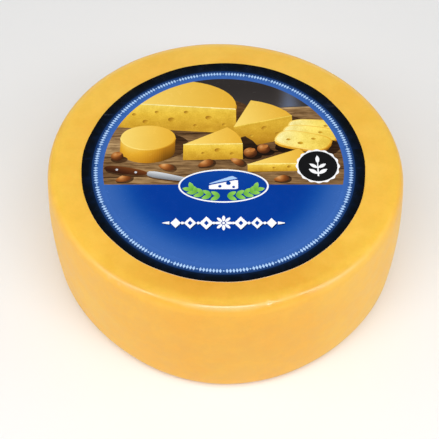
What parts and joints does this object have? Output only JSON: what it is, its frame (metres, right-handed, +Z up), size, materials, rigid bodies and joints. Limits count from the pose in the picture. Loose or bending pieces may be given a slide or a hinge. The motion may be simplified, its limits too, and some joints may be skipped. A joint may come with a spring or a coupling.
{
  "type": "cheese wheel",
  "caption": "Whole drum-shaped cheese in a golden waxy coat, with rounded edges, a slightly bulging side and a round printed label on its flat top.",
  "frame": {"origin": "middle of the wheel's bounding box, at the level of the flat base that it stands on", "axes": "+Z up through the wheel, -Y towards the reader of the label, +X to the reader's right"},
  "size_m": [0.244, 0.2388, 0.0987],
  "materials": {
    "waxy_coat": "satin golden wax, with a soft gloss along the edges",
    "printed_film": "smooth printed film, dark at its rim and blue inside"
  },
  "bodies": {
    "root": {"cheese_wheel": "waxy_coat", "label": "printed_film"}
  },
  "joints": []
}
